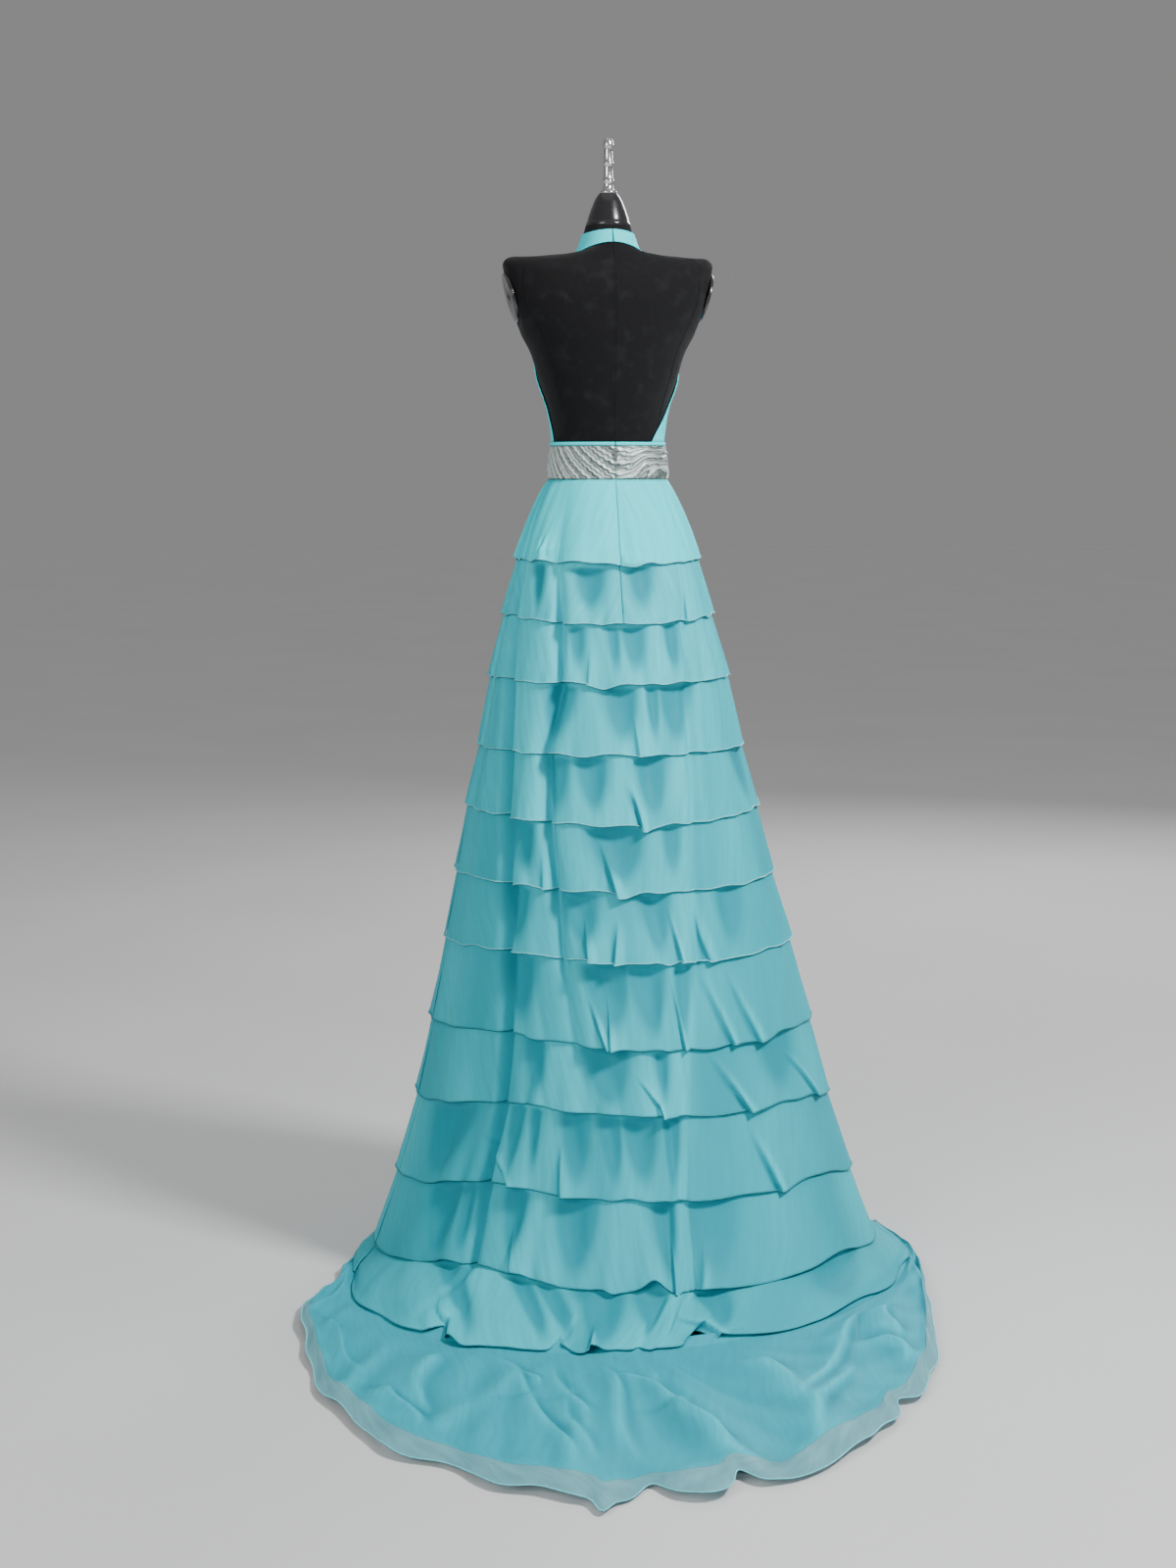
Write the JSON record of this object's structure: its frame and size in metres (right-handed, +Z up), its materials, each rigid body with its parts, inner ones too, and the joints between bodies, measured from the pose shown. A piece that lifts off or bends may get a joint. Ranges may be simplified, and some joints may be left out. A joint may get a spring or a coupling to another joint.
{
  "type": "mermaid evening dress on a dress form stand",
  "caption": "Floor-length halter evening dress with a bare back, a pleated waistband, lapped chiffon tiers and a train, on a limbless dress form and round stand.",
  "frame": {"origin": "on the floor, at the middle of the underside of the stand's base, on the pole's axis", "axes": "+Z up the pole; the gown's back and its train face +Y, its front faces -Y, and the wearer's left is +X"},
  "size_m": [1.111, 1.6022, 1.9833],
  "materials": {
    "aqua_chiffon": "soft chiffon over a matching lining",
    "silver_pleating": "fine metallic pleating",
    "form_cover": "matte jersey",
    "black_lacquer": "satin",
    "polished_metal": "polished"
  },
  "bodies": {
    "gown_on_stand": {"arm_plate_left": "form_cover", "arm_plate_right": "form_cover", "bodice_front": "aqua_chiffon", "form_torso": "form_cover", "neck_cap": "black_lacquer", "neck_finial": "polished_metal", "neckband_left": "aqua_chiffon", "neckband_right": "aqua_chiffon", "stand_base": "black_lacquer", "stand_pole": "polished_metal", "tier_01_back_left": "aqua_chiffon", "tier_01_back_right": "aqua_chiffon", "tier_01_front": "aqua_chiffon", "tier_02_back": "aqua_chiffon", "tier_02_front": "aqua_chiffon", "tier_03_back": "aqua_chiffon", "tier_03_front": "aqua_chiffon", "tier_04_back": "aqua_chiffon", "tier_04_front": "aqua_chiffon", "tier_05_back": "aqua_chiffon", "tier_05_front": "aqua_chiffon", "tier_06_back": "aqua_chiffon", "tier_06_front": "aqua_chiffon", "tier_07_back": "aqua_chiffon", "tier_07_front": "aqua_chiffon", "tier_08_back": "aqua_chiffon", "tier_08_front": "aqua_chiffon", "tier_09_back": "aqua_chiffon", "tier_09_front": "aqua_chiffon", "tier_10_back": "aqua_chiffon", "tier_10_front": "aqua_chiffon", "tier_11_back": "aqua_chiffon", "tier_11_front": "aqua_chiffon", "train": "aqua_chiffon", "waist_binding": "aqua_chiffon", "waistband_back_left": "silver_pleating", "waistband_back_right": "silver_pleating", "waistband_front": "silver_pleating", "yoke_back_left": "aqua_chiffon", "yoke_back_right": "aqua_chiffon", "yoke_front": "aqua_chiffon", "zip_slider": "polished_metal", "zip_tape": "aqua_chiffon"},
    "zip_pull": {"zip_pull": "polished_metal"}
  },
  "joints": [
    {"name": "zip_pull_swing", "type": "hinge", "parent": "gown_on_stand", "child": "zip_pull", "pos_m": [0, 0.08763, 1.443], "axis": [1, 0, 0], "range_deg": [0, 100]}
  ]
}
